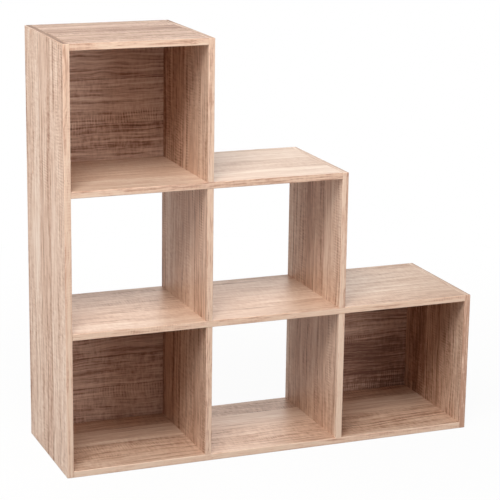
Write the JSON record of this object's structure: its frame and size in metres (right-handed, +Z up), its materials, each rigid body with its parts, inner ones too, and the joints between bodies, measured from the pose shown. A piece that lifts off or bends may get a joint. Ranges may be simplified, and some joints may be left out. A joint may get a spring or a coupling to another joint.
{
  "type": "staircase bookshelf",
  "caption": "Stepped bookshelf of square open and closed-back cells in light oak foil, low on the right and tall on the left.",
  "frame": {"origin": "on the floor, below the middle of the bookshelf's width and depth", "axes": "+X to the low right end, +Y to the rear, +Z up"},
  "size_m": [1.001, 0.31, 0.975],
  "materials": {
    "oak_foil_board": "chipboard with a light oak foil, fine matt grain",
    "oak_foil_back": "fibreboard sheet with the same oak foil, grain from side to side",
    "oak_foil_cap": "plain beige, satin",
    "zinc_plated_steel": "zinc plated",
    "beech_dowel": "plain turned beech"
  },
  "bodies": {
    "root": {"bottom_board": "oak_foil_board", "cap_bottom_board_left_front": "oak_foil_cap", "cap_bottom_board_left_rear": "oak_foil_cap", "cap_bottom_board_right_front": "oak_foil_cap", "cap_bottom_board_right_rear": "oak_foil_cap", "cap_lower_shelf_left_front": "oak_foil_cap", "cap_lower_shelf_left_rear": "oak_foil_cap", "cap_lower_shelf_right_front": "oak_foil_cap", "cap_lower_shelf_right_rear": "oak_foil_cap", "cap_top_board_left_front": "oak_foil_cap", "cap_top_board_left_rear": "oak_foil_cap", "cap_top_board_right_front": "oak_foil_cap", "cap_top_board_right_rear": "oak_foil_cap", "cap_upper_shelf_left_front": "oak_foil_cap", "cap_upper_shelf_left_rear": "oak_foil_cap", "cap_upper_shelf_right_front": "oak_foil_cap", "cap_upper_shelf_right_rear": "oak_foil_cap", "dowel_middle_divider_front": "beech_dowel", "dowel_middle_divider_rear": "beech_dowel", "dowel_middle_side_front": "beech_dowel", "dowel_middle_side_rear": "beech_dowel", "dowel_upper_side_front": "beech_dowel", "dowel_upper_side_rear": "beech_dowel", "left_side": "oak_foil_board", "lower_left_back": "oak_foil_back", "lower_left_divider": "oak_foil_board", "lower_right_back": "oak_foil_back", "lower_right_divider": "oak_foil_board", "lower_shelf": "oak_foil_board", "middle_divider": "oak_foil_board", "middle_side": "oak_foil_board", "right_side": "oak_foil_board", "screw_bottom_board_left_front": "zinc_plated_steel", "screw_bottom_board_left_rear": "zinc_plated_steel", "screw_bottom_board_right_front": "zinc_plated_steel", "screw_bottom_board_right_rear": "zinc_plated_steel", "screw_lower_left_divider_front": "zinc_plated_steel", "screw_lower_left_divider_rear": "zinc_plated_steel", "screw_lower_right_divider_front": "zinc_plated_steel", "screw_lower_right_divider_rear": "zinc_plated_steel", "screw_lower_shelf_left_front": "zinc_plated_steel", "screw_lower_shelf_left_rear": "zinc_plated_steel", "screw_lower_shelf_right_front": "zinc_plated_steel", "screw_lower_shelf_right_rear": "zinc_plated_steel", "screw_top_board_left_front": "zinc_plated_steel", "screw_top_board_left_rear": "zinc_plated_steel", "screw_top_board_right_front": "zinc_plated_steel", "screw_top_board_right_rear": "zinc_plated_steel", "screw_upper_shelf_left_front": "zinc_plated_steel", "screw_upper_shelf_left_rear": "zinc_plated_steel", "screw_upper_shelf_right_front": "zinc_plated_steel", "screw_upper_shelf_right_rear": "zinc_plated_steel", "top_back": "oak_foil_back", "top_board": "oak_foil_board", "upper_shelf": "oak_foil_board", "upper_side": "oak_foil_board"}
  },
  "joints": []
}
